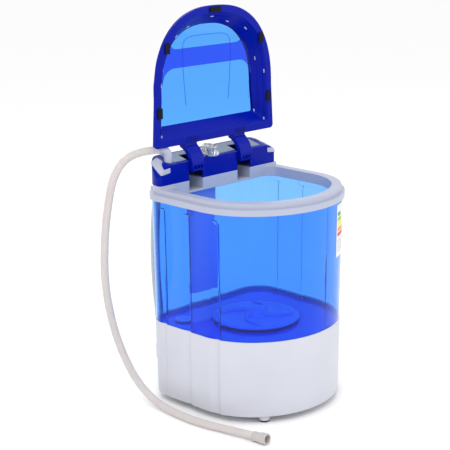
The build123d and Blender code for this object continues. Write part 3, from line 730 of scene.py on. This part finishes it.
# %% [markdown]
# ## The knob
# A clear moulded knob turns the timer. Its facets and the pressed metal disc in its
# foot are what make it sparkle. A cylinder's top is inset and extruded into a crown,
# every second facet is pushed in, and the edges are bevelled.

# %% Knob
ROOF_TILT = radians(13.3)
KNOB_PLACE = Matrix.Translation((-0.016, 0.112, 0.49892)) @ Matrix.Rotation(ROOF_TILT, 4, "X")


def on_roof(piece):
    """Moves a piece made about the origin onto the knob's place on the roof."""
    piece.data.transform(KNOB_PLACE)
    piece.data.update()
    return piece


def faceted(radius, low, high, sides, depth, crown):
    clear()
    bpy.ops.mesh.primitive_cylinder_add(
        vertices=sides, radius=radius, depth=high - low, location=(0, 0, (low + high) / 2))
    made = bpy.context.object
    bpy.ops.object.transform_apply(location=True)
    for index, corner in enumerate(made.data.vertices):
        pull = 1 - depth if (index // 2) % 2 else 1.0
        corner.co.x *= pull
        corner.co.y *= pull
    top = max(made.data.polygons, key=lambda face: face.center.z)
    for face in made.data.polygons:
        face.select = face.index == top.index
    bpy.ops.object.mode_set(mode="EDIT")
    bpy.ops.mesh.inset(thickness=radius * 0.2)
    bpy.ops.transform.translate(value=(0, 0, crown))
    bpy.ops.mesh.inset(thickness=radius * 0.28)
    bpy.ops.transform.translate(value=(0, 0, -crown * 0.9))
    bpy.ops.object.mode_set(mode="OBJECT")
    modify(made, "BEVEL", width=0.0005, segments=2, limit_method="ANGLE", angle_limit=radians(25))
    return made


knob = on_roof(faceted(0.0165, 0.0037, 0.0160, 24, 0.10, 0.0018))
knob.data.materials.append(FINISH["clear_knob"])
settle(knob, "faceted_timer_knob", "timer_dial", smooth=20, replaces=["timer_knob"])

core = on_roof(faceted(0.0085, 0.0045, 0.0120, 16, 0.18, 0.0010))
core.data.materials.append(FINISH["chrome_trim"])
settle(core, "knob_core", "timer_dial", smooth=20)

# %% [markdown]
# ## The lid
# A translucent grip band crosses the window, and widens into round corners at its
# ends. The band is a grid whose rows are laid between the two edges of the real one.
# A bead is moulded round the middle of the window: a round line along a smooth path,
# made a mesh. Small white blocks on the ring round the window are painted light: they
# stand for the light that shines through its snap slots. Five short near-black ribs
# are painted shade: they stand for the shade in the slots between the ribs where
# each arm's head is moulded onto the heel.

# %% Grip band
LID_FACE_Y = 0.1056
ARCH_Z = 0.6215
ARCH_HIGH = 0.1752
ARCH_WIDE = 0.1648
ARCH_POWER = 2.43
WINDOW_EDGE = 0.036
BAND_LOW = 0.678
BAND_HIGH = 0.715


def arch_height(x, inset):
    """Height of the arched end above x, moved inwards by inset."""
    part = min(1.0, abs(x) / (ARCH_WIDE - inset))
    return ARCH_Z + (ARCH_HIGH - inset) * (1 - part ** ARCH_POWER) ** (1 / ARCH_POWER)


def corner_drop(x, reach, radius):
    over = min(max(abs(x) - (reach - radius), 0.0), radius)
    return radius - sqrt(radius * radius - over * over)


clear()
bpy.ops.mesh.primitive_grid_add(x_subdivisions=72, y_subdivisions=6, size=2)
band = bpy.context.object
for corner in band.data.vertices:
    u, v = corner.co.x, (corner.co.y + 1) / 2
    x = 0.1262 * u
    low = BAND_LOW - 0.9 * corner_drop(x, 0.1262, 0.036)
    high = min(BAND_HIGH + corner_drop(x, 0.104, 0.018), arch_height(x, WINDOW_EDGE - 0.002))
    high = max(high, low + 0.0005)
    corner.co = (x, LID_FACE_Y + 0.0235, low + (high - low) * v)
outwards(band)
modify(band, "SOLIDIFY", thickness=0.0022, offset=0)
band.data.materials.append(FINISH["clear_blue_band"])
settle(band, "lid_grip_band", "lid", replaces=["lid_band"])

# %% A moulded line
def moulded_line(name, places, thick, kind, finish):
    """A round bead along places, as a closed mesh on the lid."""
    clear()
    line = bpy.data.curves.new(name, "CURVE")
    line.dimensions = "3D"
    spline = line.splines.new(kind)
    spline.points.add(len(places) - 1)
    for point, place in zip(spline.points, places):
        point.co = (*place, 1)
    if kind == "NURBS":
        spline.order_u = 3
        spline.use_endpoint_u = True
    line.bevel_depth = thick
    line.bevel_resolution = 3
    line.use_fill_caps = True
    made = bpy.data.objects.new(name, line)
    bpy.context.scene.collection.objects.link(made)
    pick(made)
    bpy.ops.object.convert(target="MESH")
    made = bpy.context.object
    outwards(made)
    made.data.materials.append(FINISH[finish])
    return settle(made, name, "lid", smooth=60)


# %% Window bead
BEAD_Y = LID_FACE_Y + 0.0250
BEAD_HALF = [(0.060, 0.600), (0.0655, 0.650), (0.068, 0.700), (0.066, 0.728), (0.050, 0.7365),
             (0.020, 0.7375)]
bead_route = [(x, BEAD_Y, z) for x, z in BEAD_HALF]
bead_route += [(-x, y, z) for x, y, z in reversed(bead_route)]
moulded_line("window_bead", bead_route, 0.0007, "NURBS", "clear_blue_window")

# %% [markdown]
# The ring steps down to the window in two ridges. Slots and ridges have to sit on its
# slope, so a ray is sent onto the ring from in front to find how deep it lies there.

# %% Depth of the ring
RING_MESH = frame["nodes"]["lid_ring"].data
RING = BVHTree.FromPolygons([corner.co.copy() for corner in RING_MESH.vertices],
                            [tuple(face.vertices) for face in RING_MESH.polygons])


def ring_depth(x, z):
    """How far back the ring's surface lies at one place of the open lid."""
    return RING.ray_cast(Vector((x, 0, z)), Vector((0, 1, 0)))[0].y


# %% Ridges round the window
SIDE_WIDE = 0.1699
HEEL_Z = 0.529


def ridge(name, inset, thick):
    turns = [pi * step / 60 for step in range(61)]
    wide, high = ARCH_WIDE - inset, ARCH_HIGH - inset
    bend = 2 / ARCH_POWER
    route = [(copysign(wide * abs(cos(turn)) ** bend, cos(turn)),
              ARCH_Z + high * sin(turn) ** bend) for turn in turns]
    foot = HEEL_Z + inset + 0.004
    flare = (SIDE_WIDE - ARCH_WIDE) * (ARCH_Z - foot) / (ARCH_Z - HEEL_Z)
    route = [(wide + flare, foot)] + route + [(-wide - flare, foot)]
    places = [(x, ring_depth(x, z) + thick * 0.3, z) for x, z in route]
    return moulded_line(name, places, thick, "POLY", "blue_plastic")


ridge("lid_ridge_outer", 0.0190, 0.0011)
ridge("lid_ridge_inner", 0.0275, 0.0009)

# %% Snap slot glints (painted light) and head ribs (painted shade)
def block(wide, deep, high, bevel=0.0004):
    """A bevelled block about the origin."""
    clear()
    bpy.ops.mesh.primitive_cube_add(size=1, scale=(wide, deep, high))
    made = bpy.context.object
    bpy.ops.object.transform_apply(location=False, rotation=False, scale=True)
    modify(made, "BEVEL", width=bevel, segments=2, limit_method="NONE")
    return made


SNAPS = [(-0.0945, 0.742, 50), (-0.058, 0.757, 70), (0.0, 0.774, 90), (0.052, 0.760, -72),
         (0.098, 0.743, -52), (0.131, 0.678, -12), (0.146, 0.651, -6), (0.134, 0.566, 0),
         (0.147, 0.549, 0)]
SNAPS += [(-x, z, -lean) for x, z, lean in SNAPS[5:]]
SLOT_PROUD = 0.0008
SLOT_WIDE = 0.0022
SLOT_DEEP = 0.0030
SLOT_HIGH = 0.0080
# These white blocks are painted light: they stand for the light shining through the snap slots in
# the ring.
placings = []
for x, z, lean in SNAPS:
    y = ring_depth(x, z) - SLOT_PROUD + SLOT_DEEP / 2
    placings.append(Matrix.Translation((x, y, z)) @ Matrix.Rotation(radians(lean), 4, "Y"))
slots = copies(block(SLOT_WIDE, SLOT_DEEP, SLOT_HIGH), placings)
snap_slot_glints = joined(slots)
snap_slot_glints.data.materials.clear()
snap_slot_glints.data.materials.append(FINISH["white_plastic"])
settle(snap_slot_glints, "lid_snap_slot_glints", "lid")

ARM_X = 0.0695
RIB_Y = LID_FACE_Y + 0.0002
RIB_Z = 0.5365
RIB_STEP = 0.0062
RIB_SIZE = (0.0026, 0.0012, 0.0105)
# The near-black ribs are painted shade: they stand for the shade in the slots between the ribs.
placings = [Matrix.Translation((side * ARM_X + (step - 2) * RIB_STEP, RIB_Y, RIB_Z))
            for side in (-1, 1) for step in range(5)]
ribs = copies(block(*RIB_SIZE), placings)
head_rib_shade = joined(ribs)
head_rib_shade.data.materials.clear()
head_rib_shade.data.materials.append(FINISH["blue_shadow"])
settle(head_rib_shade, "arm_head_rib_shade", "lid")

# %% [markdown]
# ## Studio
# A white table and a white surround, one broad soft light from above left and a
# weaker one from the right. Broad lamps give long soft highlights on the gloss.

# %% Floor, surround and lights
FLOOR_SIZE = 80.0
clear()
bpy.ops.mesh.primitive_plane_add(size=FLOOR_SIZE, location=(0, 0, -0.0006))
floor = bpy.context.object
floor.name = "studio_floor"
floor_paint = bpy.data.materials.new("studio_floor")
floor_paint.use_nodes = True
paint_inputs = floor_paint.node_tree.nodes["Principled BSDF"].inputs
paint_inputs["Base Color"].default_value = (0.97, 0.97, 0.97, 1)
paint_inputs["Roughness"].default_value = 0.9
paint_inputs["Specular IOR Level"].default_value = 0.0
floor.data.materials.append(floor_paint)

world = bpy.data.worlds.new("studio")
bpy.context.scene.world = world
world.use_nodes = True
world.node_tree.nodes["Background"].inputs["Color"].default_value = (1, 1, 1, 1)
world.node_tree.nodes["Background"].inputs["Strength"].default_value = 1.0


def lamp(name, place, size, power, aim=(0, 0, 0.4)):
    data = bpy.data.lights.new(name, "AREA")
    data.size = size
    data.energy = power
    made = bpy.data.objects.new(name, data)
    bpy.context.scene.collection.objects.link(made)
    made.location = place
    made.rotation_euler = (Vector(aim) - Vector(place)).to_track_quat("-Z", "Y").to_euler()


lamp("key", (-1.4, -1.2, 2.4), 1.4, 22)
lamp("fill", (1.8, -1.6, 1.2), 1.6, 7)
lamp("back", (0.6, 2.0, 2.0), 1.6, 9)
bpy.context.scene.view_settings.view_transform = "Standard"
